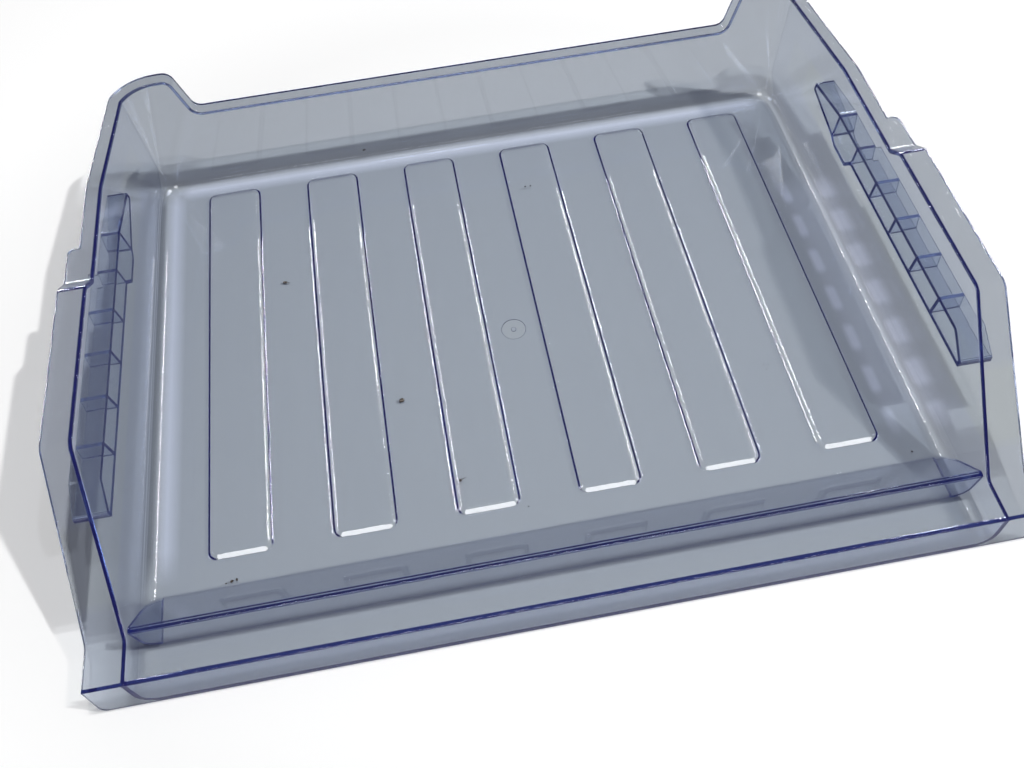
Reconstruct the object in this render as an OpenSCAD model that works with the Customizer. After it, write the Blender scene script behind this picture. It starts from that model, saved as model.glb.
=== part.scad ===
// Clear moulded drawer of a fridge: one thin-walled shell, open at the top.
// X runs across the drawer, Y from its front to its back, Z up from its underside.
// The origin is the middle of the footprint, on the plane that the drawer stands on.

/* [Overall] */
// Width over the rims
width = 481; // [440:1:560]
// Depth from the front plate to the rear rim
depth = 375; // [340:1:440]
// Height of the rim at the back corners
rear_height = 82.5; // [74:0.5:100]
// Height of the rim in front of its level step
front_height = 88.5; // [86:0.5:110]
// Height of the front plate and of the foot of the slopes
plate_height = 25; // [20:0.5:32]
// Thickness of the moulding
wall = 2.5; // [1.8:0.1:3]

/* [Tub] */
// Outward lean of the side walls, in degrees
side_lean = 4.3; // [2:0.1:6]
// Outward lean of the back wall, in degrees
back_lean = 6.8; // [3:0.2:9]
// Radius between the floor and the walls
floor_radius = 7; // [4:0.5:10]
// Distance of the bend in the side walls from the back, measured at the rim
taper_length = 95; // [80:1:120]
// Inward turn of the upright side walls behind that bend, in degrees
taper_turn = 5.8; // [4:0.2:7]
// Corner radius of the flat floor at the back
floor_corner_radius = 6; // [4:0.5:9]
// Corner radius of the back wall at the rim
ear_radius = 22; // [14:1:28]
// Turn of the back corners from the back wall to their crease, in degrees
ear_turn = 63; // [50:1:75]
// Height at which the back corners' creases start
crease_height = 20.5; // [18:0.5:30]

/* [Rim] */
// Reach of the rim outside the back wall and the rear of the side walls
rim_reach = 7; // [4:0.5:10]
// Reach of the rim outside the front of the side walls
front_rim_reach = 13; // [11:0.5:18]
// Distance of the rim's level step from the front plate
level_step_y = 200; // [185:1:210]
// Run of the rim's level step
level_step_run = 9; // [6:1:12]
// Radius of the two bends of the level step
level_step_radius = 2; // [1:0.5:3]
// Distance of the rim's sideways step from the front plate
side_step_y = 234; // [222:1:240]
// Radius of the outer corner of the sideways step
side_step_radius = 4; // [2:0.5:6]
// Distance of the top of the slopes from the front plate
slope_top_y = 102; // [90:1:115]
// Radius of the bend at the top of the slopes
slope_top_radius = 10; // [4:1:16]
// Distance of the foot of the slopes from the front plate
slope_foot_y = 25; // [20:1:35]
// Radius of the bend at the foot of the slopes
slope_foot_radius = 6; // [3:1:10]

/* [Back dip] */
// Height of the low middle of the back wall
dip_height = 57; // [48:0.5:66]
// Width of the low middle between the middles of its two flanks
dip_width = 368; // [300:2:372]
// Run of each flank of the low middle
dip_flank_run = 9; // [6:1:14]
// Radius of the bends of the flanks
dip_radius = 7; // [5:0.5:9]

/* [Front] */
// Height of the folded lip behind the front plate
lip_height = 24; // [18:0.5:30]
// Distance of the front face of the lip from the front plate
lip_y = 28.5; // [26:0.5:36]
// Width of the flat top of the lip
lip_land = 3; // [2.6:0.1:4]
// Run of the ramp that rises from the floor to the lip
ramp_run = 22; // [14:1:30]
// Radius of the bend at the foot of the ramp
ramp_foot_radius = 2; // [1:0.5:4]
// Draft of the front plate over its height
plate_draft = 2.6; // [0.5:0.1:3]
// Corner radius of the front plate's lower corners
plate_corner_radius = 5; // [2:0.5:8]

/* [Floor pads] */
// Number of raised pads across the floor
pad_count = 6; // [4:1:6]
// Distance between the middles of two pads
pad_pitch = 68; // [60:1:72]
// Width of a pad
pad_width = 36.5; // [24:0.5:44]
// Rise of the pads above the floor
pad_rise = 2; // [1:0.1:3]
// Width of the sloping edge of a pad
pad_edge = 3.4; // [2.5:0.1:6]
// Radius of the bends at the foot and the top of that edge
pad_bend_radius = 2.4; // [1:0.2:3]
// Width of the steep step in the underside below that edge
pad_step_run = 1.2; // [1:0.1:1.6]
// Corner radius of a pad
pad_radius = 6; // [4:0.5:9]
// Flat floor between the pads and the ramp
pad_front_gap = 15; // [8:1:25]
// Flat floor between the pads and the back wall's radius
pad_rear_gap = 5.5; // [3:0.5:12]
// Radius of the round gate recess under the floor
gate_radius = 7.5; // [5:0.5:9]
// Depth of the gate recess
gate_depth = 0.5; // [0.3:0.1:1]
// Radius of the gate's stub in the middle of its recess
gate_stub_radius = 1.5; // [1:0.1:2.5]

/* [Slide rails] */
// Distance of the front end of the rails from the front plate
rail_front_y = 83; // [75:1:100]
// Length of a rail
rail_length = 221; // [210:1:225]
// Run of the sloping front end of a rail
rail_front_run = 15; // [10:1:20]
// Height of the top face of a rail
rail_top = 59; // [54:0.5:62]
// Drop of the top face towards the rear end of a rail
rail_top_drop = 5.5; // [3:0.5:8]
// Run of that drop
rail_top_drop_run = 37; // [25:1:45]
// Height of the underside of a rail, which slides on its ledge
rail_underside = 44.5; // [40:0.5:48]
// Distance of a rail's top outer edge inside its lower outer edge
rail_top_inset = 1.8; // [0.5:0.1:4]
// Distance of the rail's rear part inside its front part
rail_rear_inset = 3; // [0:0.5:5]
// Thickness of the rail's plates and gussets
rail_wall = 2.2; // [1.6:0.1:2.6]
// Number of gussets in a rail
gusset_count = 6; // [4:1:6]
// Distance between two gussets
gusset_pitch = 29.3; // [26:0.1:31]
// Distance of the first gusset from the rail's front end
gusset_start = 36; // [32:1:40]
// Drop of the stop behind the rail's level underside
stop_drop = 6; // [3:0.5:8]
// Distance from the start of the stop to the end of its lowest face
stop_run = 24; // [18:1:27]
// Run of the short rise behind that face
stop_rise_run = 7; // [5:1:9]
// Height of the rail's rear end above its level underside
rail_rear_rise = 3.5; // [2:0.5:5]

/* [Hidden] */
// Number of straight pieces in a rounded corner
arc_steps = 6;
// Number of straight pieces in each bend of a pad's edge
bend_steps = 3;
// Radius of the bends of that step
pad_step_radius = 0.6;
// Part of the width of a pad's edge at which the step below it ends
pad_step_end = 0.65;
// Number of straight pieces in a full circle
circle_steps = 48;
// Extra length of the forms that have to pass clear through another one
spare = 40;
// Radius of the moulding's small edges
edge_radius = 0.8;
// Smallest radius that is left when a path is moved inwards
least_radius = 0.4;

front = -depth / 2;
half_width = width / 2;
side_flare = tan(side_lean);
back_flare = tan(back_lean);
// Inside of the side walls at floor level
floor_half = half_width - front_rim_reach - wall - side_flare * (front_height - wall);
// Inside of the back wall at floor level
floor_back = depth / 2 - rim_reach - wall - back_flare * (rear_height - wall);
taper_start = depth / 2 - taper_length;
// Plan radius of the back corners at the floor, at the top of the floor radius and at the crease
low_radius = floor_radius + floor_corner_radius;
mid_radius = 10;
crease_radius = 1.5;
// The tub's forms run up to this height, and the rim line cuts them lower down
sky = front_height + spare;
rim_band = rim_reach + wall;

lip_front = front + lip_y;
ramp_foot = lip_front + lip_land + ramp_run;
ramp_slope = (lip_height - wall) / ramp_run;
// The side walls and the floor end inside the front plate
tub_front = front + plate_draft / 2 + wall / 2;

pad_front = ramp_foot + pad_front_gap;
pad_back = floor_back - floor_radius - pad_rear_gap;

rail_front = front + rail_front_y;
rail_back = rail_front + rail_length;
// The stop starts at the last gusset but one
stop_y = rail_front + gusset_start + (gusset_count - 2) * gusset_pitch;
// Radii of a rail's end corners, of the bends in its underside and of the bend in its top face
rail_corner_radius = 1.5;
rail_bend_radius = 4;
rail_top_radius = 20;

function left_of(v) = [-v.y, v.x] / norm(v);
function at(path, i) = path[(i + len(path)) % len(path)];
function flat(p) = [p.x, p.y];
function turn(path, i) =
    cross(flat(at(path, i)) - flat(at(path, i - 1)), flat(at(path, i + 1)) - flat(at(path, i)));

// A closed counter-clockwise path of [x, y, corner radius] moved inwards by d
function inset(path, d) = [
    for (i = [0 : len(path) - 1])
        let (
            before = left_of(flat(at(path, i)) - flat(at(path, i - 1))),
            after = left_of(flat(at(path, i + 1)) - flat(at(path, i))),
            p = flat(path[i]) + (before + after) * d / (1 + before * after),
            r = path[i].z == 0 ? 0 : max(path[i].z - d * sign(turn(path, i)), least_radius)
        )
        [p.x, p.y, r]
];

// The points of one rounded corner of a closed path
function corner(path, i) =
    let (
        b = flat(at(path, i)),
        to_a = flat(at(path, i - 1)) - b,
        to_c = flat(at(path, i + 1)) - b,
        u = to_a / norm(to_a),
        w = to_c / norm(to_c),
        half = acos(u * w) / 2,
        r = path[i].z,
        centre = b + (u + w) / norm(u + w) * r / sin(half),
        first = b + u * r / tan(half) - centre,
        sweep = sign(turn(path, i)) * (180 - 2 * half),
        start = atan2(first.y, first.x)
    )
    r == 0
        ? [b]
        : [for (k = [0 : arc_steps]) centre + r * [cos(start + sweep * k / arc_steps),
                                                   sin(start + sweep * k / arc_steps)]];

function rounded(path) = [for (i = [0 : len(path) - 1]) each corner(path, i)];

function box_path(x0, x1, y0, y1, r) = [[x0, y0, r], [x1, y0, r], [x1, y1, r], [x0, y1, r]];

// Extrudes a path drawn in Y and Z along X, between x0 and x1
module along_x(x0, x1, path)
    translate([x0, 0, 0]) rotate([90, 0, 90]) linear_extrude(x1 - x0) polygon(rounded(path));

// Extrudes a path drawn in X and Z along Y, between y0 and y1
module along_y(y0, y1, path)
    translate([0, y1, 0]) rotate([90, 0, 0]) linear_extrude(y1 - y0) polygon(rounded(path));

module both_sides() {
    children();
    mirror([1, 0, 0]) children();
}

function side_at(z) = floor_half + side_flare * (z - wall);
function back_at(z) = floor_back + back_flare * (z - wall);
function corner_radius_at(z) = lookup(z, [
    [wall, low_radius],
    [wall + floor_radius, mid_radius],
    [crease_height, crease_radius],
    [rear_height, ear_radius],
    [sky, ear_radius + (ear_radius - crease_radius) * (sky - rear_height) / (rear_height - crease_height)]
]);
function corner_turn_at(z) = lookup(z, [[wall + floor_radius, 90], [crease_height, ear_turn]]);

// Behind the bend the side walls are upright planes that turn in towards the back
function taper_at(y) = side_at(rear_height) - tan(taper_turn) * (y - taper_start);
function bend_at(z) = taper_start + (side_at(rear_height) - side_at(z)) / tan(taper_turn);

// The right half of the tub's plan at height z, from front to back, grown outwards by g
function half_plan(z, g, y0) =
    let (
        r = corner_radius_at(z),
        t = corner_turn_at(z),
        cy = back_at(z) - r,
        cx = taper_at(cy + r * cos(t)) - r * sin(t)
    )
    concat(
        [[side_at(z) + g, y0], [side_at(z) + g, bend_at(z)]],
        [for (k = [0 : arc_steps]) [cx, cy] + (r + g) * [sin(t - t * k / arc_steps),
                                                         cos(t - t * k / arc_steps)]]
    );

// One level of the tub: its height, then its closed plan
function level(z, g, y0) =
    let (half = half_plan(z, g, y0))
    concat(
        [for (p = half) [p.x, p.y, z]],
        [for (i = [len(half) - 1 : -1 : 0]) [-half[i].x, half[i].y, z]]
    );

// The tub's inner form grown by g: floor, floor radius, leaning walls and creased corners.
// It starts at y0, and its floor radius is rolled around the same line for every g.
function tub_levels(g, y0) = concat(
    [for (k = [0 : arc_steps])
        let (a = 90 * k / arc_steps, r = floor_radius + g)
        level(wall + floor_radius - r * cos(a), r * sin(a) - floor_radius, y0)],
    [for (z = [crease_height, rear_height, sky]) level(z, g, y0)]
);

// A closed solid through a stack of plans with equally many points
module loft(levels) {
    n = len(levels[0]);
    top = len(levels) - 1;
    sides = [
        for (k = [0 : top - 1])
            for (i = [0 : n - 1])
                let (a = k * n + i, b = k * n + (i + 1) % n)
                each [[a, b + n, b], [a, a + n, b + n]]
    ];
    polyhedron(
        points = [for (plan = levels) each plan],
        faces = concat(sides, [[for (i = [0 : n - 1]) i]], [[for (i = [n - 1 : -1 : 0]) top * n + i]])
    );
}

// The rim line seen from the side: level at the back, a step up, level, a slope, level
side_line = [
    [front - spare, -spare, 0],
    [depth, -spare, 0],
    [depth, rear_height, 0],
    [front + level_step_y + level_step_run, rear_height, level_step_radius],
    [front + level_step_y, front_height, level_step_radius],
    [front + slope_top_y, front_height, slope_top_radius],
    [front + slope_foot_y, plate_height, slope_foot_radius],
    [front - spare, plate_height, 0]
];

// The notch above the low middle of the back wall, seen from the front
dip_outer = (dip_width + dip_flank_run) / 2;
dip_inner = (dip_width - dip_flank_run) / 2;
dip_notch = [
    [-dip_inner, dip_height, dip_radius],
    [dip_inner, dip_height, dip_radius],
    [dip_outer, rear_height, dip_radius],
    [width, rear_height, 0],
    [width, sky + spare, 0],
    [-width, sky + spare, 0],
    [-width, rear_height, 0],
    [-dip_outer, rear_height, dip_radius]
];

// All that lies below the rim line lowered by d
module below_rim(d) {
    difference() {
        along_x(-width, width, inset(side_line, d));
        along_y(floor_back - spare, depth, inset(dip_notch, -d));
    }
}

// The plan of the rim as a tall solid: a band outside the walls, wider along the front
module rim_block() {
    loft([for (z = [crease_height, rear_height, sky]) level(z, rim_band, front + side_step_y - rim_band)]);
    linear_extrude(sky)
        polygon(rounded([
            [-half_width, tub_front, 0],
            [half_width, tub_front, 0],
            [half_width, front + side_step_y, side_step_radius],
            [-half_width, front + side_step_y, side_step_radius]
        ]));
}

// The side view of a rail's closed profile
rail_line = [
    [rail_front, rail_underside, edge_radius],
    [stop_y, rail_underside, edge_radius],
    [stop_y + stop_drop, rail_underside - stop_drop, rail_corner_radius],
    [stop_y + stop_run, rail_underside - stop_drop, rail_bend_radius],
    [stop_y + stop_run + stop_rise_run, rail_underside - stop_drop / 2, rail_bend_radius],
    [rail_back, rail_underside + rail_rear_rise, rail_corner_radius],
    [rail_back, rail_top - rail_top_drop, rail_corner_radius],
    [rail_back - rail_top_drop_run, rail_top, rail_top_radius],
    [rail_front + rail_front_run, rail_top, rail_bend_radius],
    [rail_front, rail_underside + 2 * rail_wall, edge_radius]
];

// The outline of a rail seen from the front: it widens downwards, and its rear is narrower
module rail_reach_block(y0, y1, narrowing)
    along_y(y0, y1, [
        [floor_half, 0, 0],
        [half_width - narrowing, 0, 0],
        [half_width - narrowing, rail_underside, 0],
        [half_width - narrowing - rail_top_inset, rail_top, 0],
        [half_width - narrowing - rail_top_inset, sky, 0],
        [floor_half, sky, 0]
    ]);

module rail() {
    intersection() {
        union() {
            difference() {
                along_x(floor_half, half_width, rail_line);
                along_x(floor_half - spare, half_width + spare, inset(rail_line, rail_wall));
            }
            for (k = [0 : gusset_count - 1])
                intersection() {
                    along_x(floor_half, half_width, rail_line);
                    translate([floor_half, rail_front + gusset_start + k * gusset_pitch - rail_wall / 2, 0])
                        cube([half_width, rail_wall, sky]);
                }
        }
        union() {
            rail_reach_block(front, front + side_step_y, 0);
            rail_reach_block(front, depth / 2, rail_rear_inset);
        }
    }
}

// The outer half of the shell: the tub's outside, the rim's band and the rails
module shell_outside() {
    intersection() {
        below_rim(0);
        union() {
            loft(tub_levels(wall, tub_front));
            difference() {
                rim_block();
                below_rim(wall);
            }
        }
    }
    both_sides() rail();
}

// The upright front plate, with draft and rounded lower corners
module front_plate() {
    intersection() {
        along_x(-half_width, half_width, [
            [front, 0, edge_radius],
            [front + wall, 0, 0],
            [front + wall + plate_draft, plate_height, edge_radius],
            [front + plate_draft, plate_height, edge_radius]
        ]);
        along_y(front - spare, front + spare, [
            [-half_width, 0, plate_corner_radius],
            [half_width, 0, plate_corner_radius],
            [half_width, sky, 0],
            [-half_width, sky, 0]
        ]);
    }
}

// The side view of the lip: a strip of the floor, a ramp up, a narrow land and an upright front
lip_line = [
    [lip_front, 0, 0],
    [ramp_foot + 2 * wall, 0, 0],
    [ramp_foot + 2 * wall, wall, 0],
    [ramp_foot, wall, ramp_foot_radius],
    [lip_front + lip_land, lip_height, edge_radius],
    [lip_front, lip_height, edge_radius]
];

// The ramp and the upright front drawn on to a sharp top and to below the floor, for the hollow
lip_core_line = [
    [lip_front, -spare, 0],
    [ramp_foot + (wall + spare) / ramp_slope, -spare, 0],
    [lip_front, lip_height + lip_land * ramp_slope, edge_radius]
];

// The folded lip, from the outside of one side wall to the outside of the other
module lip() {
    intersection() {
        along_x(-half_width, half_width, lip_line);
        loft(tub_levels(wall, tub_front));
    }
}

// The hollow under the lip, open below and bounded by the inside of the side walls
module lip_hollow() {
    intersection() {
        along_x(-half_width, half_width, inset(lip_core_line, wall));
        loft(concat([level(-wall, -floor_radius, front - spare)], tub_levels(0, front - spare)));
    }
}

// The plan of a pad's form at height z, its edges moved inwards by d
function pad_plan(d, z) = [
    for (p = rounded(box_path(d - pad_width / 2, pad_width / 2 - d, pad_front + d, pad_back - d,
                              max(pad_radius - d, least_radius))))
        [p.x, p.y, z]
];

// The levels of a form as high as a pad: a bend at the foot, a straight slope, a bend at the top.
// The slope is run wide and starts inside the pad's outline by start
function pad_levels(start, run, radius) =
    let (slope = atan(pad_rise / run))
    [
        for (k = [0 : 2 * bend_steps + 1])
            let (
                upper = k > bend_steps,
                a = slope * (upper ? 2 * bend_steps + 1 - k : k) / bend_steps,
                reach = radius * (tan(slope / 2) - sin(a)),
                lift = radius * (1 - cos(a))
            )
            upper ? pad_plan(start + run + reach, pad_rise - lift) : pad_plan(start - reach, lift)
    ];

module each_pad()
    for (k = [0 : pad_count - 1])
        translate([(k - (pad_count - 1) / 2) * pad_pitch, 0, 0]) children();

// The round recess and the gate's stub in the middle of the underside
module gate_recess() {
    difference() {
        translate([0, 0, -wall]) cylinder(h = wall + gate_depth, r = gate_radius, $fn = circle_steps);
        cylinder(h = wall, r = gate_stub_radius, $fn = circle_steps);
    }
}

module drawer() {
    color("#b9c3d6", 0.45)
    difference() {
        union() {
            difference() {
                shell_outside();
                loft(tub_levels(0, front - spare));
            }
            front_plate();
            lip();
            each_pad() translate([0, 0, wall]) loft(pad_levels(0, pad_edge, pad_bend_radius));
        }
        lip_hollow();
        each_pad() loft(pad_levels(pad_step_end * pad_edge - pad_step_run, pad_step_run, pad_step_radius));
        gate_recess();
    }
}

drawer();
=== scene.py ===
"""Clear fridge drawer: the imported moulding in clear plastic, specks of dirt, pale floor, soft light."""

import math
import random

import bmesh
import bpy
from mathutils import Matrix, Vector


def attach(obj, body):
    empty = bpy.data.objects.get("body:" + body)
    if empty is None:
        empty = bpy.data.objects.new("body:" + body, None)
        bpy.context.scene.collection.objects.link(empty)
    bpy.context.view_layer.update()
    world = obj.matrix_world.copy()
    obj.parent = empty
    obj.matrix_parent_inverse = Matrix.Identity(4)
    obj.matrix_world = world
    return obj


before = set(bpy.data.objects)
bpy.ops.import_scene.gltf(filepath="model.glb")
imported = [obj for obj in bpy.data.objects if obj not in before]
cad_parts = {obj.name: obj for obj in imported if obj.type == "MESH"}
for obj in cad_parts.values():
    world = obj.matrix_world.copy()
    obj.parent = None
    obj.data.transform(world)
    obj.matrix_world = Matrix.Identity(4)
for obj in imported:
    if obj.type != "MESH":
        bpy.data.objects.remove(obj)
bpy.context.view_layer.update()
mm = 0.001

WHITE = (1, 1, 1, 1)
CLEAR = (0.96, 0.965, 0.98, 1)
CLEAR_RAIL = (1.0, 1.0, 0.96, 1)
CLEAR_IOR = 1.57
EDGE_RADIUS = 0.6 * mm
SCRATCH_DEPTH = 0.02 * mm

# What the shadow rays keep where they meet a surface squarely, where they graze it, and in dark places
SHADOW_SQUARE = (0.96, 0.975, 0.98, 1)
SHADOW_GRAZING = (0.08, 0.08, 0.09, 1)
SHADOW_DARK = (0.35, 0.35, 0.37, 1)

# The floor as it looks through the plastic: as a rule, with painted light outside the left wall, and with
# painted shade along its foot
FLOOR_GREY = (0.60, 0.61, 0.575, 1)
FLOOR_PAINTED_LIGHT_OUTSIDE = (0.88, 0.89, 0.86, 1)
FLOOR_PAINTED_SHADE_FOOT = (0.30, 0.305, 0.29, 1)

# Places on the drawer
RAIL_HEIGHT = 48.5 * mm
LIP_HEIGHT = 12 * mm
LIP_FRONT = -157.75 * mm
LIP_RAMP = -144 * mm
LEFT_WALL = -218.5 * mm
WALL_TOP = 40 * mm

# Places on the floor below it, where painted light and shade go
BACK_BEND = 164 * mm
LEFT_BEND = -211 * mm
LEFT_FOOT = -222.5 * mm
RIGHT_RAIL = 214 * mm
INNER_WINDOWS = 199 * mm
OUTER_WINDOWS = 228 * mm
WINDOW_PITCH = 30.5 * mm
FIRST_WINDOW = -17 * mm

STRIP_DISTANCE = 6.0

# The specks of dirt: the place in millimetres, the length, the width and the turn in degrees
SPECKS = [
    ((-138.5, 66.6, 2.5), 3.4, 2.2, 160),
    ((-136.3, 65.6, 2.5), 1.8, 0.9, 150),
    ((-73.7, -38.1, 2.5), 3.6, 3.0, 20),
    ((-47.3, -98.0, 4.5), 2.4, 1.8, 75),
    ((-45.2, -97.2, 4.5), 3.6, 0.5, 15),
    ((-76.8, 169.3, 9.4), 2.4, 1.9, 0),
    ((-175.0, -132.3, 3.0), 2.2, 1.7, 30),
    ((-172.2, -131.8, 3.0), 1.9, 1.4, 100),
    ((-178.0, -132.9, 3.0), 1.1, 0.9, 0),
    ((-12.9, -120.1, 2.5), 1.0, 0.9, 0),
    ((28.5, 115.4, 2.5), 1.6, 1.2, 60),
    ((32.1, 115.3, 2.5), 1.4, 1.1, 10),
    ((201.5, -128.7, 2.5), 1.4, 1.0, 120),
    ((140.3, -56.7, 2.5), 1.0, 0.5, 45),
    ((143.0, -57.3, 2.5), 0.9, 0.5, 135),
    ((140.9, -60.5, 2.5), 0.8, 0.7, 0),
]


def node_tree(name):
    """A new material with an output, and its empty tree."""
    material = bpy.data.materials.new(name)
    material.use_nodes = True
    tree = material.node_tree
    tree.nodes.clear()
    return material, tree, tree.nodes.new("ShaderNodeOutputMaterial")


def feed(tree, socket, value):
    """Sets a socket to a number or a colour, or links another node's output to it."""
    if isinstance(value, bpy.types.NodeSocket):
        tree.links.new(value, socket)
    else:
        socket.default_value = value


def calc(tree, operation, *values):
    node = tree.nodes.new("ShaderNodeMath")
    node.operation = operation
    for socket, value in zip(node.inputs, values):
        feed(tree, socket, value)
    return node.outputs["Value"]


def blend(tree, factor, first, second):
    """The first colour where the factor is 0, the second where it is 1."""
    node = tree.nodes.new("ShaderNodeMix")
    node.data_type = "RGBA"
    feed(tree, node.inputs["Factor"], factor)
    feed(tree, node.inputs["A"], first)
    feed(tree, node.inputs["B"], second)
    return node.outputs["Result"]


def spread(tree, value, low, high):
    """The value from low to high as a number from 0 to 1."""
    node = tree.nodes.new("ShaderNodeMapRange")
    node.inputs["From Min"].default_value = low
    node.inputs["From Max"].default_value = high
    feed(tree, node.inputs["Value"], value)
    return node.outputs["Result"]


def add_shaders(tree, first, second):
    node = tree.nodes.new("ShaderNodeAddShader")
    tree.links.new(first, node.inputs[0])
    tree.links.new(second, node.inputs[1])
    return node.outputs["Shader"]


def mix_shaders(tree, factor, first, second):
    """The first shader where the factor is 0, the second where it is 1."""
    node = tree.nodes.new("ShaderNodeMixShader")
    tree.links.new(factor, node.inputs["Fac"])
    tree.links.new(first, node.inputs[1])
    tree.links.new(second, node.inputs[2])
    return node.outputs["Shader"]


def absorption(tree, colour, density):
    node = tree.nodes.new("ShaderNodeVolumeAbsorption")
    node.inputs["Color"].default_value = colour
    node.inputs["Density"].default_value = density
    return node.outputs["Volume"]


def object_axes(tree):
    coords = tree.nodes.new("ShaderNodeTexCoord")
    split = tree.nodes.new("ShaderNodeSeparateXYZ")
    tree.links.new(coords.outputs["Object"], split.inputs["Vector"])
    return split.outputs["X"], split.outputs["Y"], split.outputs["Z"]


def streaks(tree, scale, stretch, turn, low, high):
    """A noise from 0 to 1 between two of its levels, stretched along a direction."""
    coords = tree.nodes.new("ShaderNodeTexCoord")
    place = tree.nodes.new("ShaderNodeMapping")
    place.inputs["Rotation"].default_value = (0, 0, math.radians(turn))
    place.inputs["Scale"].default_value = stretch
    tree.links.new(coords.outputs["Object"], place.inputs["Vector"])
    noise = tree.nodes.new("ShaderNodeTexNoise")
    noise.inputs["Scale"].default_value = scale
    noise.inputs["Detail"].default_value = 3.0
    tree.links.new(place.outputs["Vector"], noise.inputs["Vector"])
    return spread(tree, noise.outputs["Fac"], low, high)


def part_of(tree, share, first, second):
    """The share where both tests hold, and 0 elsewhere."""
    return calc(tree, "MULTIPLY", calc(tree, "MULTIPLY", first, second), share)


def near(tree, value, centre, reach, core=0.0):
    """1 up to the core on both sides of the centre, fading to 0 at the reach."""
    return spread(tree, calc(tree, "ABSOLUTE", calc(tree, "SUBTRACT", value, centre)), reach, core)


def in_rails(tree, start, half_height):
    """1 outside the side walls at the height of the slide rails."""
    x, _, z = object_axes(tree)
    outside = calc(tree, "GREATER_THAN", calc(tree, "ABSOLUTE", x), start)
    return calc(tree, "MULTIPLY", outside, calc(tree, "COMPARE", z, RAIL_HEIGHT, half_height))


def largest(tree, values):
    result = values[0]
    for value in values[1:]:
        result = calc(tree, "MAXIMUM", result, value)
    return result


def dark_places(tree):
    """How far a place throws a darker shadow. Such places are the left wall's top, the rails and
    the lip's front face and ramp."""
    x, y, z = object_axes(tree)
    in_lip = calc(tree, "COMPARE", z, LIP_HEIGHT, 11.8 * mm)
    in_wall = calc(tree, "LESS_THAN", x, LEFT_WALL)
    return largest(tree, [
        part_of(tree, 0.85, in_wall, calc(tree, "GREATER_THAN", z, WALL_TOP)),
        calc(tree, "MULTIPLY", in_rails(tree, 222.5 * mm, 11.5 * mm), 0.7),
        part_of(tree, 1.0, in_lip, calc(tree, "COMPARE", y, LIP_FRONT, 2.2 * mm)),
        part_of(tree, 0.2, in_lip, calc(tree, "COMPARE", y, LIP_RAMP, 11 * mm)),
    ])


def shadow_tone(tree):
    """What a surface lets through to the ground: less where light grazes it, and in dark places."""
    facing = tree.nodes.new("ShaderNodeLayerWeight")
    facing.inputs["Blend"].default_value = 0.5
    grazing = calc(tree, "POWER", facing.outputs["Facing"], 3.0)
    tone = blend(tree, grazing, SHADOW_SQUARE, SHADOW_GRAZING)
    dark = tree.nodes.new("ShaderNodeMix")
    dark.data_type = "RGBA"
    dark.blend_type = "MULTIPLY"
    feed(tree, dark.inputs["Factor"], dark_places(tree))
    feed(tree, dark.inputs["A"], tone)
    dark.inputs["B"].default_value = SHADOW_DARK
    return dark.outputs["Result"]


def worn_normal(tree):
    """Softly rounded edges, sharp ones on the rails, and two sets of fine scratches on the faces."""
    lengthwise = streaks(tree, 60.0, (26, 0.7, 26), 4, 0.70, 0.80)
    slanting = streaks(tree, 60.0, (26, 0.9, 26), 38, 0.73, 0.82)
    edges = tree.nodes.new("ShaderNodeBevel")
    edges.samples = 6
    sharp = in_rails(tree, 214 * mm, 14 * mm)
    feed(tree, edges.inputs["Radius"], calc(tree, "MULTIPLY_ADD", sharp, -EDGE_RADIUS, EDGE_RADIUS))
    grooves = tree.nodes.new("ShaderNodeBump")
    grooves.invert = True
    grooves.inputs["Strength"].default_value = 0.25
    grooves.inputs["Distance"].default_value = SCRATCH_DEPTH
    feed(tree, grooves.inputs["Height"], calc(tree, "MAXIMUM", lengthwise, slanting))
    feed(tree, grooves.inputs["Normal"], edges.outputs["Normal"])
    return grooves.outputs["Normal"]


def clear_plastic():
    """Glossy clear plastic, navy where light runs far in it, from absorption and from a painted navy
    glow. It throws plain shadows, no caustics.
    """
    material, tree, out = node_tree("clear_plastic_moulded")
    gloss = tree.nodes.new("ShaderNodeBsdfPrincipled")
    rails = in_rails(tree, 221 * mm, 13 * mm)
    feed(tree, gloss.inputs["Base Color"], blend(tree, rails, CLEAR, CLEAR_RAIL))
    gloss.inputs["IOR"].default_value = CLEAR_IOR
    gloss.inputs["Transmission Weight"].default_value = 1.0
    wiping_marks = streaks(tree, 22.0, (1, 1, 1), 0, 0.35, 0.75)
    feed(tree, gloss.inputs["Roughness"], calc(tree, "MULTIPLY_ADD", wiping_marks, 0.03, 0.02))
    feed(tree, gloss.inputs["Normal"], worn_normal(tree))
    clear = tree.nodes.new("ShaderNodeBsdfTransparent")
    feed(tree, clear.inputs["Color"], shadow_tone(tree))
    rays = tree.nodes.new("ShaderNodeLightPath")
    shadow_ray = rays.outputs["Is Shadow Ray"]
    surface = mix_shaders(tree, shadow_ray, gloss.outputs["BSDF"], clear.outputs["BSDF"])
    tree.links.new(surface, out.inputs["Surface"])

    navy = absorption(tree, (0.08, 0.26, 0.65, 1), 120.0)
    neutral = absorption(tree, (0.25, 0.27, 0.33, 1), 60.0)
    # A painted navy glow: the plastic's inside glows, more the further a ray runs in it, though it is no
    # lamp
    painted_navy_glow = tree.nodes.new("ShaderNodeEmission")
    painted_navy_glow.inputs["Color"].default_value = (0.22, 0.20, 1.0, 1)
    painted_navy_glow.inputs["Strength"].default_value = 4.0
    inside = add_shaders(tree, mix_shaders(tree, shadow_ray, navy, neutral), painted_navy_glow.outputs["Emission"])
    tree.links.new(inside, out.inputs["Volume"])
    return material


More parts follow.
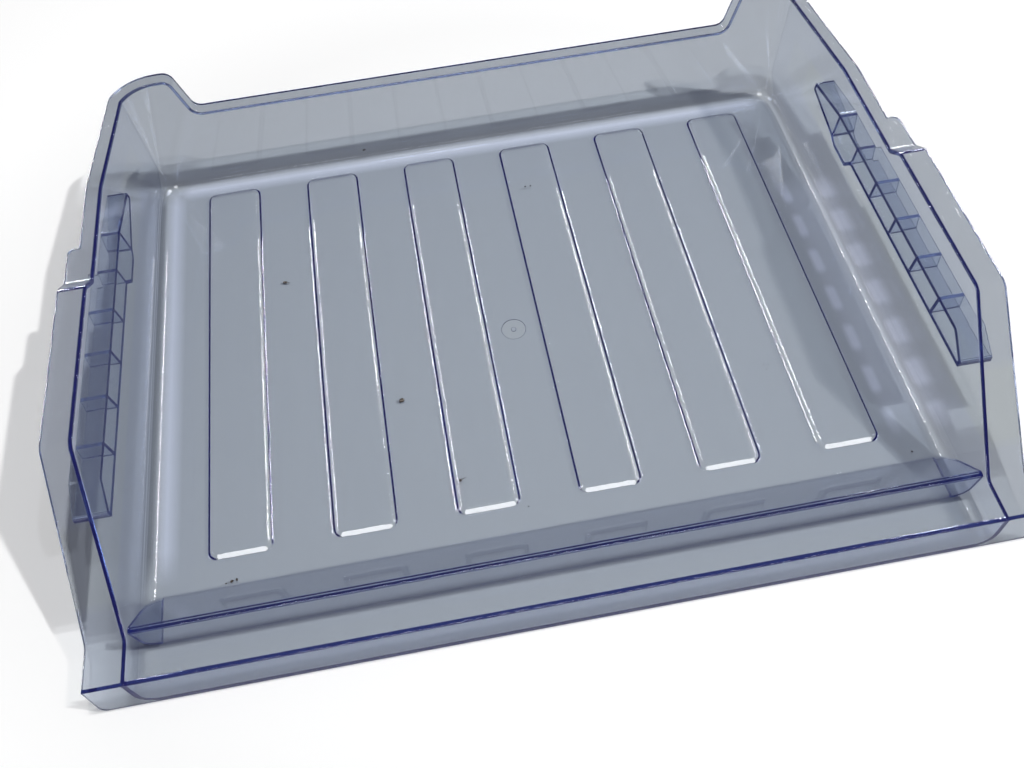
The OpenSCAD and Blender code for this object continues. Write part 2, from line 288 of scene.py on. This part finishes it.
def painted_caustics(tree, x, y, along_left):
    """Painted light on the floor below, standing in for caustics: strips that the drawer's bend would
    gather along its back and left wall, a faint band under the right rail, and two rows of windows in the
    right rail's shadow."""
    turn = calc(tree, "MULTIPLY", calc(tree, "SUBTRACT", y, FIRST_WINDOW), 2 * math.pi / WINDOW_PITCH)
    window = calc(tree, "MULTIPLY_ADD", spread(tree, calc(tree, "COSINE", turn), -0.8, 0.2), 0.75, 0.25)
    under_rail = near(tree, y, -14 * mm, 105 * mm, 85 * mm)
    inner_row = calc(tree, "MULTIPLY", near(tree, x, INNER_WINDOWS, 5 * mm, 1.5 * mm), window)
    outer_row = calc(tree, "MULTIPLY", near(tree, x, OUTER_WINDOWS, 9 * mm, 2.5 * mm), window)
    return largest(tree, [
        part_of(tree, 1.0, near(tree, y, BACK_BEND, 9 * mm), near(tree, x, 0.0, 212 * mm, 200 * mm)),
        part_of(tree, 0.8, near(tree, x, LEFT_BEND, 8 * mm), along_left),
        part_of(tree, 0.3, near(tree, x, RIGHT_RAIL, 22 * mm, 14 * mm), under_rail),
        part_of(tree, 0.9, inner_row, under_rail),
        part_of(tree, 0.9, outer_row, under_rail),
    ])


def floor_material():
    """White to the camera, and the photographed grey through the plastic, with painted light in it
    outside the left wall, a painted shadow line along that wall's foot, and painted bright caustic strips
    and windows. To the camera it also glows a little, more so further out, which keeps the backdrop white
    where the lamps' light falls off."""
    material, tree, out = node_tree("ground")
    rays = tree.nodes.new("ShaderNodeLightPath")
    seen = rays.outputs["Is Camera Ray"]
    x, y, _ = object_axes(tree)
    # Painted light: the floor's grey is made lighter outside the left wall, where the drawer's shadow
    # falls
    outside = spread(tree, x, -225 * mm, -250 * mm)
    painted_light_beside = part_of(tree, 1.0, outside, spread(tree, y, 190 * mm, 160 * mm))
    grey = blend(tree, painted_light_beside, FLOOR_GREY, FLOOR_PAINTED_LIGHT_OUTSIDE)
    along_left = near(tree, y, 22 * mm, 150 * mm, 130 * mm)
    # Painted shade: a dark line in the floor's grey along the left wall's foot
    foot = part_of(tree, 0.8, near(tree, x, LEFT_FOOT, 5 * mm, 2 * mm), along_left)
    grey = blend(tree, foot, grey, FLOOR_PAINTED_SHADE_FOOT)
    # Painted light: bright caustic strips and windows in the floor's grey
    grey = blend(tree, painted_caustics(tree, x, y, along_left), grey, WHITE)
    shader = tree.nodes.new("ShaderNodeBsdfDiffuse")
    feed(tree, shader.inputs["Color"], blend(tree, seen, grey, WHITE))

    distance = calc(tree, "SQRT", calc(tree, "MULTIPLY_ADD", x, x, calc(tree, "MULTIPLY", y, y)))
    around = calc(tree, "MULTIPLY_ADD", spread(tree, distance, 300 * mm, 420 * mm), 0.14, 0.06)
    backdrop = calc(tree, "MULTIPLY_ADD", spread(tree, distance, 420 * mm, 4000 * mm), 0.55, around)
    glow = tree.nodes.new("ShaderNodeEmission")
    feed(tree, glow.inputs["Strength"], calc(tree, "MULTIPLY", seen, backdrop))
    both = add_shaders(tree, shader.outputs["BSDF"], glow.outputs["Emission"])
    tree.links.new(both, out.inputs["Surface"])
    return material


def dirt_material():
    """Dried dark brown dirt, uneven and nearly matt."""
    material, tree, out = node_tree("dried_dirt")
    shader = tree.nodes.new("ShaderNodeBsdfPrincipled")
    shader.inputs["Roughness"].default_value = 0.45
    blotches = streaks(tree, 1500.0, (1, 1, 1), 0, 0.3, 0.7)
    feed(tree, shader.inputs["Base Color"],
         blend(tree, blotches, (0.012, 0.008, 0.006, 1), (0.060, 0.038, 0.022, 1)))
    tree.links.new(shader.outputs["BSDF"], out.inputs["Surface"])
    return material


def build_specks():
    """The specks of dirt as one piece of small uneven lumps that lie on the plastic."""
    chance = random.Random(7)
    lumps = bmesh.new()
    for place, length, width, turn in SPECKS:
        flat = Matrix.Diagonal((length / 2, width / 2, width / 5, 1.0))
        spin = Matrix.Rotation(math.radians(turn), 4, "Z")
        shape = Matrix.Scale(mm, 4) @ Matrix.Translation(Vector(place)) @ spin @ flat
        for vert in bmesh.ops.create_icosphere(lumps, subdivisions=2, radius=1.0)["verts"]:
            vert.co = shape @ (vert.co * chance.uniform(0.72, 1.1))
    for face in lumps.faces:
        face.smooth = True
    mesh = bpy.data.meshes.new("dirt_specks")
    lumps.to_mesh(mesh)
    lumps.free()
    mesh.materials.append(dirt_material())
    specks = bpy.data.objects.new("dirt_specks", mesh)
    bpy.context.scene.collection.objects.link(specks)
    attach(specks, "root")


def build_floor():
    bpy.ops.mesh.primitive_plane_add(size=8, location=(0, 0, -0.3 * mm))
    ground = bpy.context.object
    ground.name = "ground"
    ground.data.materials.append(floor_material())


def build_world():
    """A dim room, lighter overhead, and white where the camera sees it."""
    world = bpy.data.worlds.new("studio")
    bpy.context.scene.world = world
    world.use_nodes = True
    tree = world.node_tree
    coords = tree.nodes.new("ShaderNodeTexCoord")
    split = tree.nodes.new("ShaderNodeSeparateXYZ")
    tree.links.new(coords.outputs["Generated"], split.inputs["Vector"])
    height = spread(tree, split.outputs["Z"], 0.0, 0.95)
    room = blend(tree, height, (0.05, 0.05, 0.055, 1), (0.14, 0.14, 0.14, 1))
    rays = tree.nodes.new("ShaderNodeLightPath")
    seen = blend(tree, rays.outputs["Is Camera Ray"], room, WHITE)
    tree.links.new(seen, tree.nodes["Background"].inputs["Color"])


def glowing_card(name, location, width, height, strength):
    """A bright card that only mirrors in the plastic and shows through it: it lights no matt surface."""
    bpy.ops.mesh.primitive_plane_add(size=1, location=location)
    card = bpy.context.object
    card.name = name
    card.scale = (width, height, 1)
    card.rotation_euler = (-Vector(location)).to_track_quat("-Z", "Y").to_euler()
    material, tree, out = node_tree(name)
    rays = tree.nodes.new("ShaderNodeLightPath")
    not_matt = calc(tree, "LESS_THAN", rays.outputs["Diffuse Depth"], 0.5)
    glow = tree.nodes.new("ShaderNodeEmission")
    feed(tree, glow.inputs["Strength"], calc(tree, "MULTIPLY", not_matt, strength))
    tree.links.new(glow.outputs["Emission"], out.inputs["Surface"])
    card.data.materials.append(material)
    card.visible_camera = False
    card.visible_diffuse = False
    card.visible_shadow = False
    return card


def sky_point(azimuth, elevation, distance):
    """The point seen that way from the drawer, with the azimuth counted from its back to its right."""
    a, e = math.radians(azimuth), math.radians(elevation)
    return distance * Vector((math.cos(e) * math.sin(a), math.cos(e) * math.cos(a), math.sin(e)))


def strip_card(name, start, end, width, strength):
    """A bright strip in the sky between two directions, for thin lines of light on rounded edges.
    It is only mirrored: seen through the rails it would light up their edges, which are dark."""
    a, b = sky_point(*start, STRIP_DISTANCE), sky_point(*end, STRIP_DISTANCE)
    middle = (a + b) / 2
    card = glowing_card(name, middle, (b - a).length, width, strength)
    card.visible_transmission = False
    along = (b - a).normalized()
    facing = -middle.normalized()
    across = facing.cross(along).normalized()
    card.rotation_euler = Matrix((along, across, along.cross(across))).transposed().to_euler()


def area_light(name, location, size, power):
    """A round lamp for the floor and the dirt, with the plastic's highlights left to the cards."""
    light = bpy.data.lights.new(name, "AREA")
    light.shape = "DISK"
    light.size = size
    light.energy = power
    lamp = bpy.data.objects.new(name, light)
    lamp.location = location
    lamp.rotation_euler = (-Vector(location)).to_track_quat("-Z", "Y").to_euler()
    lamp.visible_transmission = False
    lamp.visible_glossy = False
    bpy.context.scene.collection.objects.link(lamp)


def build_camera():
    data = bpy.data.cameras.new("camera")
    data.lens = 32.496
    data.sensor_width = 36
    camera = bpy.data.objects.new("camera", data)
    camera.location = (-0.03767, -0.33439, 0.46373)
    camera.rotation_euler = tuple(math.radians(a) for a in (32.5687, 2.7046, -9.9698))
    bpy.context.scene.collection.objects.link(camera)
    bpy.context.scene.camera = camera


scene = bpy.context.scene
scene.view_settings.view_transform = "Standard"
scene.cycles.max_bounces = 32
scene.cycles.transmission_bounces = 32
scene.cycles.glossy_bounces = 8
scene.cycles.transparent_max_bounces = 32

build_camera()
build_floor()
build_world()
area_light("overhead", (0.08, -0.06, 1.15), 0.04, 5.9)
area_light("right", (3.15, -0.81, 4.5), 0.15, 162)
glowing_card("left_card", (-2.0, 0.2, 1.5), 0.8, 0.8, 8)
glowing_card("right_card", (2.0, -0.3, 1.6), 0.8, 0.8, 8)
glowing_card("front_card", (0.0, -2.2, 1.6), 1.6, 0.4, 8)
glowing_card("top_card", (0.0, -0.1, 2.4), 0.35, 0.35, 5)
strip_card("rear_left_strip", (-62, 53), (-25, 32), 0.36, 66)
strip_card("rear_right_strip", (62, 45), (27, 27), 0.4, 68)
strip_card("front_strip", (-148, 50.3), (138, 45.9), 0.5, 11)

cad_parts["drawer"].material_slots[0].material = clear_plastic()
build_specks()
